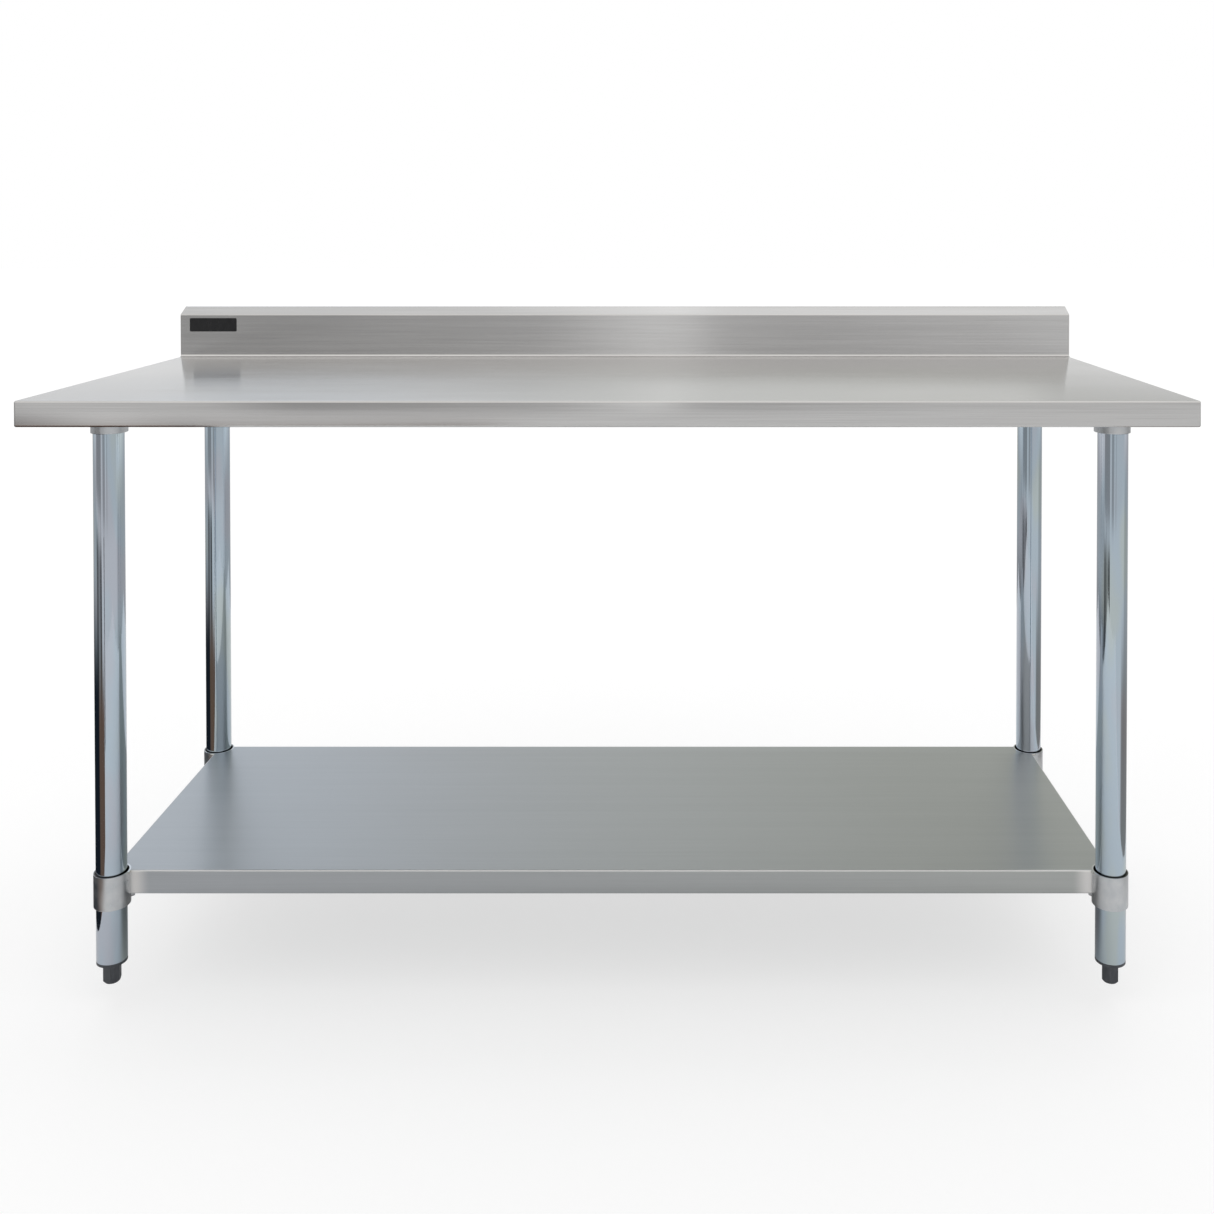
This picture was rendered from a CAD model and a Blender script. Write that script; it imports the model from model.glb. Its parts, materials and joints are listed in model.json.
import json
from math import atan2, cos, pi, radians, sin, tan

import bmesh
import bpy
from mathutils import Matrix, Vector


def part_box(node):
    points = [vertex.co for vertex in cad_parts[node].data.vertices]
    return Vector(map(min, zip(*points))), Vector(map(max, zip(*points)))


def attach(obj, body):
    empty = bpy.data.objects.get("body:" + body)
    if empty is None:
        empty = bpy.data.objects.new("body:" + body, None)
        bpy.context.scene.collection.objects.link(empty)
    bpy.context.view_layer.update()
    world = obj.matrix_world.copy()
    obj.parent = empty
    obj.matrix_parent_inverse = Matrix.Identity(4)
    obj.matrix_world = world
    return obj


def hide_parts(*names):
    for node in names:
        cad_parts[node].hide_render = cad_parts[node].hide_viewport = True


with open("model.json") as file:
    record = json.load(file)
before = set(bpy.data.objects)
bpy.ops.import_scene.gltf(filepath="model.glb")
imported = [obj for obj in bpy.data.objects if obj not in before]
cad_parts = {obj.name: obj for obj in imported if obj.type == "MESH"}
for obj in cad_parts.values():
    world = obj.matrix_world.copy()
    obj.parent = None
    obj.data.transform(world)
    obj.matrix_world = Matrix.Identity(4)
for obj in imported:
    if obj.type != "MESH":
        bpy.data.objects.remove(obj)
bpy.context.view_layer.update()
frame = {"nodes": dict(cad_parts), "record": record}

# ---------------------------------------------------------------- places, all from the frame
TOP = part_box("worktop_sheet")
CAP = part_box("splash_end_cap_left")
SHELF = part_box("shelf_sheet")
CORNERS = ("front_left", "front_right", "back_left", "back_right")
MOUNTS = {m["name"]: m for m in frame["record"]["mounts"]}
WORKTOP_Z = MOUNTS["worktop_surface"]["pos_m"][2]

# sheet metal, in metres
SHEET = 0.0012
BEND = 0.0025
COVE = 0.004
TOP_LIP = 0.012
SHELF_LIP = 0.010
SPLASH_FACE_Z = WORKTOP_Z + 0.072
SPLASH_TOP_Z = WORKTOP_Z + 0.086
CAP_GAP = 0.00005
SPLASH_Y = CAP[0].y - SHEET - CAP_GAP
SPLASH_DROP = 0.026

# turned and threaded parts
RING_RADIUS = 0.0238
TUBE_WALL = 0.0015
TUBE_EDGE = 0.0005
THREAD_PITCH = 0.0015
THREAD_DEPTH = 0.0009

# weld beads: how thick, how far from the ring, and how far round to each side of its inner corner
BEAD_RADIUS = 0.0014
BEAD_GAP = 0.0004
BEAD_SWEEP = radians(62)
BEAD_STEPS = 44

# the feet screw out of the legs by this much, and the floor leaves them room
FOOT_TRAVEL = 0.025
FLOOR_GAP = 0.0005

# the camera's place in front of the worktop, its downward tilt, lens in mm and shift
CAMERA_X = 0.0896
CAMERA_AHEAD = 1.715
CAMERA_Z = 1.0256
CAMERA_TILT = 0.016
CAMERA_LENS = 39.74
CAMERA_SHIFT = (-0.0578, -0.297)


def middle(node):
    """Centre of a CAD node's box."""
    low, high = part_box(node)
    return (low + high) / 2


# the legs' axes, as a spacing about the table's middle
LEG_X = middle("leg_front_right").x
LEG_Y = (middle("leg_back_left").y - middle("leg_front_left").y) / 2
LEG_MIDDLE = (middle("leg_back_left").y + middle("leg_front_left").y) / 2


# ---------------------------------------------------------------- node helpers
class Nodes:
    """A material or world being wired up, with short calls for the nodes used here."""

    def __init__(self, tree):
        self.tree = tree
        tree.nodes.clear()

    def add(self, kind, inputs=None, **settings):
        node = self.tree.nodes.new(kind)
        for name, value in settings.items():
            setattr(node, name, value)
        for name, value in (inputs or {}).items():
            self.feed(node.inputs[name], value)
        return node

    def feed(self, socket, value):
        if isinstance(value, bpy.types.NodeSocket):
            self.tree.links.new(value, socket)
        else:
            socket.default_value = value

    def math(self, operation, a, b=0.0, c=0.0):
        node = self.add("ShaderNodeMath", operation=operation)
        for socket, value in zip(node.inputs, (a, b, c)):
            self.feed(socket, value)
        return node.outputs[0]

    def vector(self, operation, a, b=(0.0, 0.0, 0.0)):
        node = self.add("ShaderNodeVectorMath", operation=operation)
        self.feed(node.inputs[0], a)
        self.feed(node.inputs[1], b)
        return node.outputs[0]

    def between(self, value, low, high, start=0.0, end=1.0):
        """value mapped smoothly from low..high to start..end."""
        inputs = {"Value": value, "From Min": low, "From Max": high, "To Min": start, "To Max": end}
        return self.add("ShaderNodeMapRange", inputs, interpolation_type="SMOOTHSTEP").outputs["Result"]

    def window(self, value, low, high, soft):
        """1 where value lies between low and high, with soft edges as wide as soft."""
        rise = self.between(value, low - soft / 2, low + soft / 2)
        fall = self.between(value, high + soft / 2, high - soft / 2)
        return self.math("MULTIPLY", rise, fall)

    def ramp(self, value, stops):
        """Colour along value, through (position, colour) stops."""
        low, high = stops[0][0], stops[-1][0]
        inputs = {"Value": value, "From Min": low, "From Max": high}
        place = self.add("ShaderNodeMapRange", inputs).outputs["Result"]
        node = self.add("ShaderNodeValToRGB", {"Fac": place})
        elements = node.color_ramp.elements
        elements[0].color = stops[0][1]
        elements[1].color = stops[-1][1]
        for position, colour in stops[1:-1]:
            elements.new((position - low) / (high - low)).color = colour
        return node.outputs["Color"]

    def grey_ramp(self, value, stops):
        """Grey along value, through (position, tone) stops."""
        return self.ramp(value, [(place, grey(tone)) for place, tone in stops])

    def mix(self, factor, a, b):
        """Colour a to colour b."""
        node = self.add("ShaderNodeMix", data_type="RGBA")
        self.feed(node.inputs[0], factor)
        self.feed(node.inputs[6], a)
        self.feed(node.inputs[7], b)
        return node.outputs[2]

    def noise(self, place, scale=(1.0, 1.0, 1.0), detail=3.0, roughness=0.5):
        """Noise, 0 to 1, on a place stretched by scale."""
        stretched = self.vector("MULTIPLY", place, scale)
        inputs = {"Vector": stretched, "Scale": 1.0, "Detail": detail, "Roughness": roughness}
        return self.add("ShaderNodeTexNoise", inputs).outputs["Fac"]

    def object_place(self):
        return self.add("ShaderNodeTexCoord").outputs["Object"]

    def surface_normal(self):
        return self.add("ShaderNodeNewGeometry").outputs["Normal"]

    def parts(self, vector):
        """The X, Y and Z of a vector."""
        return self.add("ShaderNodeSeparateXYZ", {"Vector": vector}).outputs


def grey(value):
    return (value, value, value, 1.0)


def new_material(name):
    material = bpy.data.materials.new(name)
    material.use_nodes = True
    return material, Nodes(material.node_tree)


def metal(nodes, colour, roughness):
    inputs = {"Base Color": colour, "Metallic": 1.0, "Roughness": roughness}
    return nodes.add("ShaderNodeBsdfPrincipled", inputs)


def finish_surface(nodes, shader, height, depth):
    """Bump the shader by a height field, in metres, and wire it out."""
    bump = nodes.add("ShaderNodeBump", {"Height": height, "Distance": depth, "Strength": 1.0})
    nodes.feed(shader.inputs["Normal"], bump.outputs["Normal"])
    nodes.add("ShaderNodeOutputMaterial", {"Surface": shader.outputs["BSDF"]})


def brushed_sheet(name, dark, light, rough, anisotropy, grain, streak, bend_shine, drift=None):
    """Sheet polished along X: fine lines, longer streaks, faint cloudy wear and brighter bends."""
    material, nodes = new_material(name)
    place = nodes.object_place()
    fine = nodes.noise(place, (6.0, grain, grain), 3.0, 0.6)
    streaks = nodes.noise(place, (1.0, streak, streak), 2.0, 0.5)
    clouds = nodes.noise(place, (3.0, 7.0, 7.0), 3.0, 0.55)
    lines = nodes.math("ADD", nodes.math("MULTIPLY", fine, 0.6), nodes.math("MULTIPLY", streaks, 0.4))
    grain_shade = nodes.between(lines, 0.3, 0.7, 0.0, 0.8)
    shade = nodes.math("ADD", grain_shade, nodes.between(clouds, 0.35, 0.7, 0.0, 0.2))
    colour = nodes.mix(shade, dark, light)
    if drift:
        colour = drift(nodes, place, colour)
    normal = nodes.surface_normal()
    bend = nodes.window(nodes.parts(normal)["Z"], 0.35, 0.93, 0.1)
    colour = nodes.mix(nodes.math("MULTIPLY", bend, bend_shine), colour, (0.86, 0.86, 0.86, 1))
    roughness = nodes.math(
        "ADD",
        nodes.between(clouds, 0.3, 0.7, rough - 0.01, rough + 0.01),
        nodes.between(lines, 0.3, 0.7, -0.01, 0.01),
    )
    # across the grain; the small sum keeps it from vanishing on faces that look along X
    across = nodes.vector("CROSS_PRODUCT", normal, (1.0, 0.0, 0.0))
    across = nodes.vector("ADD", across, (0.0, 0.0007, 0.001))
    shader = nodes.add(
        "ShaderNodeBsdfPrincipled",
        {
            "Base Color": colour,
            "Metallic": 1.0,
            "Roughness": roughness,
            "Anisotropic": anisotropy,
            "Tangent": across,
        },
    )
    finish_surface(nodes, shader, fine, 0.000003)
    return material


def worktop_steel():
    dark, light = (0.57, 0.565, 0.56, 1), (0.665, 0.66, 0.655, 1)
    return brushed_sheet("worktop_steel", dark, light, 0.14, 0.9, 900.0, 120.0, 0.0)


def shelf_steel():
    def drift(nodes, place, colour):
        """Cool at the left end, olive at the right, as passivated zinc often drifts. The front skirt
        is buffed bright beside its collars."""
        x = nodes.parts(place)["X"]
        tint = nodes.mix(nodes.between(x, -0.75, 0.75), (0.98, 1.0, 1.03, 1), (1.0, 1.01, 0.97, 1))
        colour = nodes.vector("MULTIPLY", colour, tint)
        forward = nodes.between(nodes.parts(nodes.surface_normal())["Y"], -0.6, -0.9)
        end = nodes.between(nodes.math("ABSOLUTE", x), LEG_X - 0.052, LEG_X - 0.03)
        return nodes.mix(nodes.math("MULTIPLY", forward, end), colour, (0.72, 0.71, 0.70, 1))

    dark, light = (0.42, 0.43, 0.44, 1), (0.46, 0.47, 0.48, 1)
    return brushed_sheet("shelf_steel", dark, light, 0.36, 0.7, 700.0, 90.0, 0.6, drift)


def channel_zinc():
    """Galvanised steel: soft crystalline patches of slightly different grey."""
    material, nodes = new_material("channel_zinc")
    place = nodes.object_place()
    cells = nodes.add("ShaderNodeTexVoronoi", {"Vector": place, "Scale": 90.0})
    patch = nodes.add("ShaderNodeSeparateColor", {"Color": cells.outputs["Color"]}).outputs["Red"]
    fine = nodes.noise(place, (300.0, 300.0, 300.0), 4.0, 0.6)
    colour = nodes.mix(patch, (0.45, 0.47, 0.48, 1), (0.58, 0.6, 0.61, 1))
    dull = nodes.between(patch, 0.0, 1.0, 0.34, 0.46)
    roughness = nodes.math("ADD", dull, nodes.math("MULTIPLY", fine, 0.08))
    shader = metal(nodes, colour, roughness)
    finish_surface(nodes, shader, fine, 0.00003)
    return material


def leg_zinc():
    """Bright zinc plate on drawn tube: glossy, bluish, with faint violet and green bands."""
    material, nodes = new_material("leg_zinc")
    place = nodes.object_place()
    drawn = nodes.noise(place, (420.0, 420.0, 3.0), 3.0, 0.6)
    film = nodes.noise(place, (26.0, 26.0, 4.5), 2.0, 0.5)
    colour = nodes.mix(nodes.between(film, 0.36, 0.5), (0.53, 0.57, 0.64, 1), (0.50, 0.59, 0.67, 1))
    colour = nodes.mix(nodes.between(film, 0.52, 0.68), colour, (0.53, 0.60, 0.61, 1))
    roughness = nodes.between(drawn, 0.3, 0.7, 0.06, 0.11)
    shader = metal(nodes, colour, roughness)
    finish_surface(nodes, shader, drawn, 0.000012)
    return material


def ring_casting():
    """Satin plated ring: fine grain, faint clouds, and a dull bore, which the plating hardly reaches."""
    material, nodes = new_material("ring_casting")
    place = nodes.object_place()
    grain = nodes.noise(place, (900.0, 900.0, 900.0), 4.0, 0.65)
    clouds = nodes.noise(place, (60.0, 60.0, 60.0), 3.0, 0.5)
    colour = nodes.mix(nodes.between(clouds, 0.3, 0.7), (0.56, 0.58, 0.6, 1), (0.65, 0.66, 0.67, 1))
    # the bore: a millimetre or more nearer to the leg's axis than the ring's outer face
    x, y, _ = nodes.parts(place)
    across = nodes.math("SUBTRACT", nodes.math("ABSOLUTE", x), LEG_X)
    depth = nodes.math("ABSOLUTE", nodes.math("SUBTRACT", y, LEG_MIDDLE))
    along = nodes.math("SUBTRACT", depth, LEG_Y)
    squares = nodes.math("ADD", nodes.math("POWER", across, 2.0), nodes.math("POWER", along, 2.0))
    bore = nodes.between(nodes.math("SQRT", squares), RING_RADIUS - 0.001, RING_RADIUS - 0.0014)
    colour = nodes.mix(bore, colour, (0.07, 0.065, 0.06, 1))
    satin = nodes.between(clouds, 0.3, 0.7, 0.24, 0.32)
    roughness = nodes.math("ADD", satin, nodes.math("MULTIPLY", grain, 0.08))
    shader = metal(nodes, colour, roughness)
    finish_surface(nodes, shader, grain, 0.00002)
    return material


def moulded_plastic(name, dark, light, rough, depth):
    """Plastic with a fine moulded grain and scuffs, whose bump is depth metres high."""
    material, nodes = new_material(name)
    place = nodes.object_place()
    grain = nodes.noise(place, (1400.0, 1400.0, 1400.0), 3.0, 0.6)
    scuffs = nodes.noise(place, (120.0, 120.0, 60.0), 4.0, 0.7)
    colour = nodes.mix(nodes.between(scuffs, 0.45, 0.75), dark, light)
    roughness = nodes.between(scuffs, 0.3, 0.75, rough - 0.06, rough + 0.12)
    shader = nodes.add("ShaderNodeBsdfPrincipled", {"Base Color": colour, "Roughness": roughness})
    finish_surface(nodes, shader, grain, depth)
    return material


def fastener_metal(name, dark, light, rough):
    """Small plated parts, uneven in tone."""
    material, nodes = new_material(name)
    place = nodes.object_place()
    grain = nodes.noise(place, (700.0, 700.0, 700.0), 4.0, 0.6)
    tone = nodes.noise(place, (60.0, 60.0, 60.0), 2.0, 0.5)
    colour = nodes.mix(tone, dark, light)
    roughness = nodes.between(grain, 0.3, 0.7, rough - 0.06, rough + 0.06)
    shader = metal(nodes, colour, roughness)
    finish_surface(nodes, shader, grain, 0.00002)
    return material


MATERIALS = {
    "worktop_steel": worktop_steel(),
    "shelf_steel": shelf_steel(),
    "channel_zinc": channel_zinc(),
    "leg_zinc": leg_zinc(),
    "ring_casting": ring_casting(),
    "foot_plastic": moulded_plastic(
        "foot_plastic", (0.034, 0.037, 0.043, 1), (0.055, 0.059, 0.067, 1), 0.38, 0.00002
    ),
    "plate_black": moulded_plastic(
        "plate_black", (0.003, 0.003, 0.004, 1), (0.006, 0.006, 0.007, 1), 0.2, 0.00001
    ),
    "fastener_zinc": fastener_metal("fastener_zinc", (0.5, 0.5, 0.47, 1), (0.62, 0.62, 0.6, 1), 0.3),
    "screw_black": fastener_metal("screw_black", (0.06, 0.06, 0.06, 1), (0.11, 0.11, 0.11, 1), 0.45),
}


# ---------------------------------------------------------------- mesh helpers
def finish_piece(name, mesh, body, slot, replaced=(), sharp=35.0):
    """Object for a mesh in frame coordinates, smooth except at sharp edges, on its body."""
    mesh.validate()
    mesh.shade_smooth()
    mesh.set_sharp_from_angle(angle=radians(sharp))
    piece = bpy.data.objects.new(name, mesh)
    bpy.context.scene.collection.objects.link(piece)
    mesh.materials.append(MATERIALS[slot])
    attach(piece, body)
    if replaced:
        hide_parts(*replaced)
    return piece


def mesh_from(bm, name):
    bmesh.ops.recalc_face_normals(bm, faces=bm.faces)
    mesh = bpy.data.meshes.new(name)
    bm.to_mesh(mesh)
    bm.free()
    return mesh


def lathe(bm, profile, centre, turns=128, closed=True):
    """Surface of revolution about a vertical axis. profile holds (radius, z) points; closed, it
    makes a ring."""
    rings = []
    for radius, z in profile:
        if radius < 1e-7:
            rings.append([bm.verts.new((centre.x, centre.y, z))] * turns)
            continue
        angles = [2 * pi * i / turns for i in range(turns)]
        spots = [(centre.x + radius * cos(a), centre.y + radius * sin(a), z) for a in angles]
        rings.append([bm.verts.new(spot) for spot in spots])
    pairs = list(zip(rings, rings[1:] + rings[:1])) if closed else list(zip(rings, rings[1:]))
    for lower, upper in pairs:
        for i in range(turns):
            j = (i + 1) % turns
            corners = [lower[i], lower[j], upper[j], upper[i]]
            face = list(dict.fromkeys(corners))
            if len(face) > 2:
                bm.faces.new(face)


def rounded(points, radii, steps=4):
    """Closed outline whose corners are rounded by the radii, as (u, v) points."""
    outline = []
    count = len(points)
    for i, radius in enumerate(radii):
        here = Vector(points[i])
        back = (Vector(points[i - 1]) - here).normalized()
        ahead = (Vector(points[(i + 1) % count]) - here).normalized()
        if radius <= 0:
            outline.append(tuple(here))
            continue
        half = back.angle(ahead) / 2
        centre = here + (back + ahead).normalized() * (radius / sin(half))
        start = here + back * (radius / tan(half)) - centre
        turn = pi - 2 * half
        way = 1 if back.x * ahead.y - back.y * ahead.x < 0 else -1
        for step in range(steps + 1):
            a = way * turn * step / steps
            spoke = Vector((start.x * cos(a) - start.y * sin(a), start.x * sin(a) + start.y * cos(a)))
            outline.append(tuple(centre + spoke))
    return outline


def bent_strip(points, radii, gauge, steps=8):
    """Closed outline of a folded sheet. points is the line of one face, radii its bends, gauge the
    thickness, laid to the right of the line."""
    face, back = [], []
    count = len(points)
    for i, point in enumerate(points):
        here = Vector(point)
        if i in (0, count - 1):
            way = (Vector(points[1]) - here) if i == 0 else (here - Vector(points[-2]))
            way.normalize()
            right = Vector((way.y, -way.x))
            face.append(here)
            back.append(here + right * gauge)
            continue
        before = (here - Vector(points[i - 1])).normalized()
        after = (Vector(points[i + 1]) - here).normalized()
        turn = before.angle_signed(after)
        bend = abs(turn)
        right_turn = before.x * after.y - before.y * after.x < 0
        radius = radii[i - 1]
        inward = Vector((before.y, -before.x)) if right_turn else Vector((-before.y, before.x))
        start = here - before * (radius * tan(bend / 2))
        centre = start + inward * radius
        far = radius - gauge if right_turn else radius + gauge
        spoke = (start - centre).normalized()
        for step in range(steps + 1):
            a = bend * step / steps * (-1 if right_turn else 1)
            way = Vector((spoke.x * cos(a) - spoke.y * sin(a), spoke.x * sin(a) + spoke.y * cos(a)))
            face.append(centre + way * radius)
            back.append(centre + way * far)
    return [tuple(p) for p in face + back[::-1]]


def prism(bm, outline, start, end):
    """Solid between two copies of a (y, z) outline, at x = start and x = end."""
    near = [bm.verts.new((start, y, z)) for y, z in outline]
    far = [bm.verts.new((end, y, z)) for y, z in outline]
    for i, j in zip(range(len(outline)), list(range(1, len(outline))) + [0]):
        bm.faces.new((near[i], near[j], far[j], far[i]))
    for loop in (near, far[::-1]):
        bm.faces.new(loop)


def baked(piece):
    """Mesh of an object with its modifiers applied; the object goes."""
    bpy.context.view_layer.update()
    graph = bpy.context.evaluated_depsgraph_get()
    mesh = bpy.data.meshes.new_from_object(piece.evaluated_get(graph), depsgraph=graph)
    bpy.data.objects.remove(piece)
    return mesh


def loose(name, mesh):
    """Object that isn't a piece yet."""
    item = bpy.data.objects.new(name, mesh)
    bpy.context.scene.collection.objects.link(item)
    return item


def folded_tray(low, high, lip, open_back):
    """Upside-down tray of sheet: rounded folds, return lips, thickened inwards."""
    bm = bmesh.new()
    xs, ys, zs = (low.x, high.x), (low.y, high.y), (low.z, high.z)
    inner_back = high.y if open_back else high.y - lip
    outer = ((xs[0], ys[0]), (xs[1], ys[0]), (xs[1], ys[1]), (xs[0], ys[1]))
    top = [bm.verts.new((x, y, zs[1])) for x, y in outer]
    hem = [bm.verts.new((v.co.x, v.co.y, zs[0])) for v in top]
    edge = [
        bm.verts.new((x, y, zs[0]))
        for x, y in (
            (xs[0] + lip, ys[0] + lip),
            (xs[1] - lip, ys[0] + lip),
            (xs[1] - lip, inner_back),
            (xs[0] + lip, inner_back),
        )
    ]
    bm.faces.new(top)
    sides = (0, 1, 3) if open_back else (0, 1, 2, 3)
    for i in sides:
        j = (i + 1) % 4
        bm.faces.new((hem[i], hem[j], top[j], top[i]))
        bm.faces.new((edge[i], edge[j], hem[j], hem[i]))
    bmesh.ops.recalc_face_normals(bm, faces=bm.faces)
    roof = [f for f in bm.faces if f.calc_center_median().z > zs[1] - 1e-6]
    if sum(f.normal.z * f.calc_area() for f in roof) < 0:
        bmesh.ops.reverse_faces(bm, faces=bm.faces)
    folds = [e for e in bm.edges if len(e.link_faces) == 2 and e.calc_face_angle() > 0.5]
    bmesh.ops.bevel(bm, geom=folds, offset=BEND, segments=6, profile=0.5, affect="EDGES", clamp_overlap=True)
    mesh = bpy.data.meshes.new("tray")
    bm.to_mesh(mesh)
    bm.free()
    tray = loose("tray", mesh)
    skin = tray.modifiers.new("sheet", "SOLIDIFY")
    skin.thickness = SHEET
    skin.offset = -1.0
    skin.use_even_offset = True
    return tray


def add_mesh(bm, mesh):
    bm.from_mesh(mesh)
    bpy.data.meshes.remove(mesh)


# ---------------------------------------------------------------- worktop and splash
def build_worktop():
    """Worktop with its skirts and lips, and the splash, coved up from its back edge."""
    cove_y = SPLASH_Y - COVE
    tray = folded_tray(TOP[0], Vector((TOP[1].x, cove_y, WORKTOP_Z)), TOP_LIP, True)
    bm = bmesh.new()
    add_mesh(bm, baked(tray))
    line = [
        (cove_y, WORKTOP_Z),
        (SPLASH_Y, WORKTOP_Z),
        (SPLASH_Y, SPLASH_FACE_Z),
        (TOP[1].y, SPLASH_TOP_Z),
        (TOP[1].y, SPLASH_TOP_Z - SPLASH_DROP),
    ]
    prism(bm, bent_strip(line, [COVE - 1e-5, BEND, BEND], SHEET), TOP[0].x, TOP[1].x)
    # side skirts and lips carried back under the cove
    steps = 8
    outer = COVE + SHEET
    turns = [pi / 2 * i / steps for i in range(steps + 1)]
    arc = [(cove_y + outer * sin(a), WORKTOP_Z + COVE - outer * cos(a)) for a in turns]
    tail = [(cove_y, TOP[0].z), (SPLASH_Y + SHEET, TOP[0].z)] + arc[::-1]
    for x, way in ((TOP[0].x, 1), (TOP[1].x, -1)):
        prism(bm, tail, x, x + way * SHEET)
        strip = [(cove_y, TOP[0].z), (SPLASH_Y + SHEET, TOP[0].z)]
        strip += [(y, TOP[0].z + SHEET) for y, _ in strip[::-1]]
        prism(bm, strip, x + way * SHEET, x + way * TOP_LIP)
    return finish_piece("worktop", mesh_from(bm, "worktop"), "table", "worktop_steel", ["worktop_sheet"])


# ---------------------------------------------------------------- undershelf
def collar_centre(corner):
    """Centre of a shelf collar's ring, read from its box, whose boss doesn't reach past the ring on
    the side away from the table's middle."""
    low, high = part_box(f"shelf_collar_{corner}")
    leg = middle(f"leg_{corner}")
    x = (low.x + RING_RADIUS) if leg.x < 0 else (high.x - RING_RADIUS)
    y = (low.y + RING_RADIUS) if leg.y < 0 else (high.y - RING_RADIUS)
    return Vector((x, y, (low.z + high.z) / 2))


def build_shelf():
    """Undershelf sheet, notched round each collar."""
    tray = folded_tray(SHELF[0], SHELF[1], SHELF_LIP, False)
    low, high = SHELF[0].z - 0.02, SHELF[1].z + 0.02
    profile = [(0.0, low), (RING_RADIUS, low), (RING_RADIUS, high), (0.0, high)]
    cutters = []
    for corner in CORNERS:
        bm = bmesh.new()
        lathe(bm, profile, collar_centre(corner), closed=False)
        cutter = loose("cutter", mesh_from(bm, "cutter"))
        cutters.append(cutter)
        cut = tray.modifiers.new("notch", "BOOLEAN")
        cut.operation = "DIFFERENCE"
        cut.solver = "EXACT"
        cut.object = cutter
    mesh = baked(tray)
    for cutter in cutters:
        bpy.data.objects.remove(cutter)
    mesh.materials.clear()
    return finish_piece("undershelf_sheet", mesh, "undershelf", "shelf_steel", ["shelf_sheet"])


# ---------------------------------------------------------------- legs
def build_leg(corner):
    """Tube with softened ends."""
    low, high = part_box(f"leg_{corner}")
    radius = (high.x - low.x) / 2
    bore = radius - TUBE_WALL
    points = [(bore, low.z), (radius, low.z), (radius, high.z), (bore, high.z)]
    bm = bmesh.new()
    lathe(bm, rounded(points, [TUBE_EDGE] * 4), (low + high) / 2)
    name = f"leg_tube_{corner}"
    return finish_piece(name, mesh_from(bm, name), "table", "leg_zinc", [f"leg_{corner}"])


# ---------------------------------------------------------------- threads
def thread(bm, centre, crest, root, pitch, low, high, turns=24):
    """Closed screw thread about a vertical axis, with a chamfered run-out at both ends."""
    rows = 4 * (int((high - low) / pitch) + 3)
    radii = (crest, crest, root, root)
    rings = []
    for i in range(turns):
        a = 2 * pi * i / turns
        ring = []
        for j in range(rows):
            z = low - 1.5 * pitch + pitch * (j / 4 + i / turns)
            inside = min(z - low, high - z)
            radius = min(radii[j % 4], root + max(0.0, inside))
            z = min(max(z, low), high)
            ring.append(bm.verts.new((centre.x + radius * cos(a), centre.y + radius * sin(a), z)))
        rings.append(ring)
    for i in range(turns):
        step = 4 if i == turns - 1 else 0
        ahead = rings[(i + 1) % turns]
        for j in range(rows - 1 - step):
            bm.faces.new((rings[i][j], ahead[j + step], ahead[j + 1 + step], rings[i][j + 1]))
    bmesh.ops.remove_doubles(bm, verts=bm.verts, dist=1e-7)
    bmesh.ops.dissolve_degenerate(bm, edges=bm.edges, dist=1e-7)
    bmesh.ops.holes_fill(bm, edges=[e for e in bm.edges if e.is_boundary], sides=0)


def build_stem(corner):
    """Foot stem, cut with a real thread."""
    low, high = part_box(f"foot_stem_{corner}")
    radius = (high.x - low.x) / 2
    bm = bmesh.new()
    thread(bm, (low + high) / 2, radius, radius - THREAD_DEPTH, THREAD_PITCH, low.z, high.z)
    name = f"threaded_stem_{corner}"
    return finish_piece(name, mesh_from(bm, name), f"stem_{corner}", "fastener_zinc", [f"foot_stem_{corner}"])


# ---------------------------------------------------------------- welds
def weld(bm, points, radius, side=8):
    """Rippled bead along a line of points, pinched at its ends."""
    rings = []
    count = len(points)
    for i, point in enumerate(points):
        ahead = points[min(i + 1, count - 1)] - points[max(i - 1, 0)]
        ahead.normalize()
        across = ahead.cross(Vector((0, 0, 1))).normalized()
        up = across.cross(ahead)
        end = min(1.0, 0.25 + min(i, count - 1 - i) / 3)
        size = radius * end * (1 + 0.16 * (1 if i % 2 else -1))
        angles = [2 * pi * k / side for k in range(side)]
        rings.append([bm.verts.new(point + (across * cos(a) + up * sin(a)) * size) for a in angles])
    for here, there in zip(rings, rings[1:]):
        for k in range(side):
            m = (k + 1) % side
            bm.faces.new((here[k], here[m], there[m], there[k]))
    bm.faces.new(rings[0])
    bm.faces.new(rings[-1][::-1])


def build_shelf_welds():
    """Beads under the shelf sheet, round the inner side of each collar."""
    bm = bmesh.new()
    z = SHELF[1].z - SHEET - BEAD_GAP
    reach = RING_RADIUS + BEAD_GAP
    for corner in CORNERS:
        centre = collar_centre(corner)
        inward = atan2(1 if centre.y < 0 else -1, 1 if centre.x < 0 else -1)
        start = inward - BEAD_SWEEP
        turns = [start + 2 * BEAD_SWEEP * i / BEAD_STEPS for i in range(BEAD_STEPS + 1)]
        line = [Vector((centre.x + reach * cos(a), centre.y + reach * sin(a), z)) for a in turns]
        weld(bm, line, BEAD_RADIUS)
    mesh = mesh_from(bm, "shelf_welds")
    return finish_piece("shelf_welds", mesh, "undershelf", "fastener_zinc", sharp=80.0)


# ---------------------------------------------------------------- finishes of the CAD nodes
EDGES = {"ring_casting": 0.0004, "foot_plastic": 0.0005, "channel_zinc": 0.0003, "plate_black": 0.0002}


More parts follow.
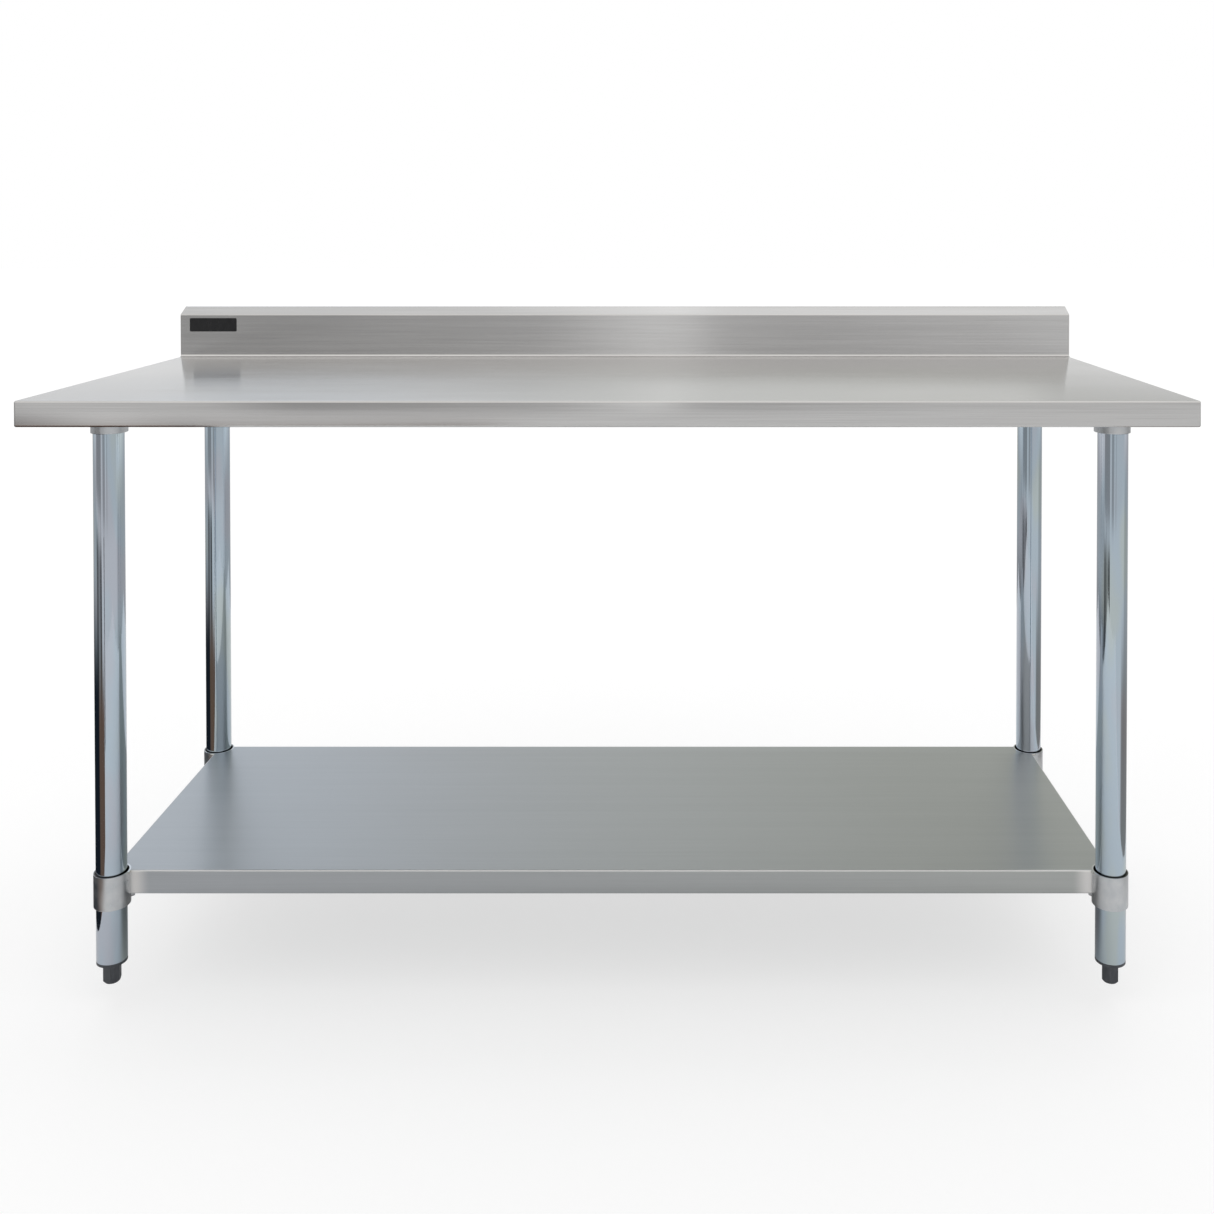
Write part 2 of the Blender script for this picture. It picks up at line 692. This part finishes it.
def finish_cad_nodes():
    """Each CAD node gets its slot's material and, in most slots, a small rounded edge."""
    slots = {part["node"]: part["material_slot"] for part in frame["record"]["subparts"]}
    for node, thing in frame["nodes"].items():
        slot = slots[node]
        thing.data.materials.clear()
        thing.data.materials.append(MATERIALS[slot])
        if slot in EDGES:
            edge = thing.modifiers.new("edge", "BEVEL")
            edge.width = EDGES[slot]
            edge.segments = 3
            edge.limit_method = "ANGLE"
            edge.angle_limit = radians(40)
            edge.harden_normals = True


# ---------------------------------------------------------------- camera, light, floor
def build_camera():
    """A little above the splash, in front of the table and right of its middle."""
    data = bpy.data.cameras.new("camera")
    data.sensor_width = 36.0
    data.lens = CAMERA_LENS
    data.shift_x, data.shift_y = CAMERA_SHIFT
    camera = bpy.data.objects.new("camera", data)
    camera.location = (CAMERA_X, TOP[0].y - CAMERA_AHEAD, CAMERA_Z)
    camera.rotation_euler = (pi / 2 - CAMERA_TILT, 0.0, 0.0)
    bpy.context.scene.collection.objects.link(camera)
    bpy.context.scene.camera = camera


def wall_behind(nodes, x, y, z):
    """White wall behind the table: greyer near the floor, and higher up cooler and brighter to the
    left. slant is how far a ray leans to the right."""
    slant = nodes.math("DIVIDE", x, nodes.math("MAXIMUM", y, 0.1))
    behind = nodes.mix(nodes.between(z, -0.12, 0.02), grey(0.5), grey(0.95))
    tones = (
        (-0.42, 0.72),
        (-0.35, 0.58),
        (-0.12, 0.56),
        (-0.06, 0.66),
        (-0.005, 0.82),
        (0.035, 0.75),
        (0.1, 0.78),
        (0.2, 0.83),
        (0.28, 0.8),
        (0.32, 0.62),
    )
    behind = nodes.mix(nodes.between(z, 0.1, 0.2), behind, nodes.grey_ramp(slant, tones))
    colours = (
        (-0.8, (0.93, 0.95, 0.98, 1)),
        (-0.35, (0.92, 1.04, 1.2, 1)),
        (-0.2, (1.0, 1.04, 1.08, 1)),
        (-0.05, (0.8, 0.83, 0.8, 1)),
        (0.22, (0.52, 0.54, 0.47, 1)),
    )
    wall = nodes.ramp(slant, colours)
    lift = nodes.math("MULTIPLY", nodes.between(z, 0.37, 0.46), nodes.window(slant, -0.62, -0.25, 0.14))
    wall = nodes.mix(lift, wall, (1.28, 1.38, 1.46, 1))
    behind = nodes.mix(nodes.window(z, 0.3, 0.64, 0.14), behind, wall)
    tones = ((-0.6, 0.84), (-0.25, 0.87), (0.0, 1.14), (0.06, 1.0), (0.5, 1.03))
    return nodes.mix(nodes.between(z, 0.62, 0.75), behind, nodes.grey_ramp(slant, tones))


def room_in_front(nodes, turn, z):
    """Dim room with one soft light band, a paler floor, dark furniture to the left and a light
    ceiling. turn is the angle from straight ahead, less than 0 to the left."""
    tones = (
        (-0.68, 0.34),
        (-0.58, 0.75),
        (-0.43, 0.64),
        (-0.35, 0.35),
        (-0.2, 0.43),
        (-0.1, 0.5),
        (-0.02, 0.84),
        (0.008, 0.82),
        (0.035, 0.56),
        (0.1, 0.52),
        (0.27, 0.66),
        (0.8, 0.66),
    )
    room = nodes.mix(nodes.between(z, -0.07, -0.12), nodes.grey_ramp(turn, tones), grey(0.74))
    tones = (
        (-1.45, 0.2),
        (-1.3, 0.06),
        (-1.15, 0.2),
        (-0.9, 0.34),
        (-0.76, 0.05),
        (-0.67, 0.06),
        (-0.6, 0.45),
        (-0.53, 0.85),
    )
    low = nodes.math("MULTIPLY", nodes.window(z, -0.4, -0.13, 0.05), nodes.window(turn, -2.0, -0.5, 0.05))
    room = nodes.mix(low, room, nodes.grey_ramp(turn, tones))
    return nodes.mix(nodes.between(z, 0.1, 0.4), room, (1.05, 1.03, 1.0, 1))


def floor_past_sweep(nodes, colour, turn, z):
    """colour with the floor past the sweep: brown in front, dark to the left, dim to the right."""
    wood = nodes.math("MULTIPLY", nodes.between(z, -0.23, -0.35), nodes.window(turn, -1.2, -0.15, 0.1))
    colour = nodes.mix(wood, colour, (0.17, 0.105, 0.075, 1))
    dark = nodes.math("MULTIPLY", nodes.between(z, -0.18, -0.31), nodes.window(turn, -2.8, -1.15, 0.1))
    colour = nodes.mix(dark, colour, (0.012, 0.016, 0.022, 1))
    dim = nodes.math("MULTIPLY", nodes.between(z, -0.2, -0.36), nodes.window(turn, 1.0, 2.4, 0.3))
    return nodes.mix(dim, colour, (0.3, 0.28, 0.26, 1))


def build_world():
    """Plain white to the camera and to soft light; the studio to whatever mirrors it."""
    world = bpy.data.worlds.new("studio")
    bpy.context.scene.world = world
    world.use_nodes = True
    nodes = Nodes(world.node_tree)
    x, y, z = nodes.parts(nodes.add("ShaderNodeTexCoord").outputs["Generated"])
    turn = nodes.math("ARCTAN2", x, nodes.math("MULTIPLY", y, -1.0))
    front = nodes.between(y, -0.05, -0.3)
    colour = nodes.mix(front, wall_behind(nodes, x, y, z), room_in_front(nodes, turn, z))
    colour = floor_past_sweep(nodes, colour, turn, z)
    rays = nodes.add("ShaderNodeLightPath").outputs
    colour = nodes.mix(rays["Is Glossy Ray"], grey(1.0), colour)
    background = nodes.add("ShaderNodeBackground", {"Color": colour, "Strength": 1.0})
    nodes.add("ShaderNodeOutputWorld", {"Surface": background.outputs["Background"]})


def floor_material(name, tone, glow, shade):
    """Pale paper sweep, lifted by a little light of its own so that shadows stay soft. shade is its
    tone under the table."""
    material, nodes = new_material(name)
    place = nodes.object_place()
    fibre = nodes.noise(place, (1.5, 1.5, 1.5), 2.0, 0.5)
    colour = nodes.mix(fibre, grey(tone), grey(tone + 0.02))
    x, y, _ = nodes.parts(place)
    under = nodes.math("MULTIPLY", nodes.window(x, -0.69, 0.69, 0.1), nodes.window(y, -0.22, 0.3, 0.1))
    colour = nodes.mix(under, colour, grey(shade))
    shader = nodes.add(
        "ShaderNodeBsdfPrincipled",
        {"Base Color": colour, "Roughness": 0.9, "Emission Color": grey(1.0), "Emission Strength": glow},
    )
    nodes.add("ShaderNodeOutputMaterial", {"Surface": shader.outputs["BSDF"]})
    return material


def flat_stage(name, points, material):
    """Stage sheet through points, drawn but not part of the table."""
    bm = bmesh.new()
    bm.faces.new([bm.verts.new(point) for point in points])
    mesh = bpy.data.meshes.new(name)
    bm.to_mesh(mesh)
    bm.free()
    mesh.materials.append(material)
    sheet = loose(name, mesh)
    return sheet


def mirrored_only(sheet):
    """Leave a stage sheet to mirrored rays."""
    sheet.visible_camera = False
    sheet.visible_diffuse = False
    sheet.visible_shadow = False


def build_floor():
    """The wide floor that the camera sees, and what the metal mirrors: the sweep under the table and
    a dark stand in front on the left."""
    square = ((-30, -30), (30, -30), (30, 30), (-30, 30))
    ground = [(x, y, -FOOT_TRAVEL - FLOOR_GAP) for x, y in square]
    wide = flat_stage("floor", ground, floor_material("floor", 0.4, 0.59, 0.4))
    wide.visible_glossy = False
    outline = ((-1.36, -2.1), (1.02, -2.1), (1.02, 1.6), (-0.815, 1.6), (-0.815, -0.56))
    paper = floor_material("sweep", 0.82, 0.0, 0.45)
    mirrored_only(flat_stage("sweep", [(x, y, 0.0) for x, y in outline], paper))
    corners = ((-0.93, 0.0), (-0.87, 0.0), (-0.87, 0.52), (-0.93, 0.52))
    stand = floor_material("stand", 0.03, 0.0, 0.03)
    mirrored_only(flat_stage("stand", [(x, -1.0, z) for x, z in corners], stand))


build_worktop()
build_shelf()
build_shelf_welds()
for corner in CORNERS:
    build_leg(corner)
    build_stem(corner)
finish_cad_nodes()
build_camera()
build_world()
build_floor()
bpy.context.scene.view_settings.view_transform = "Standard"
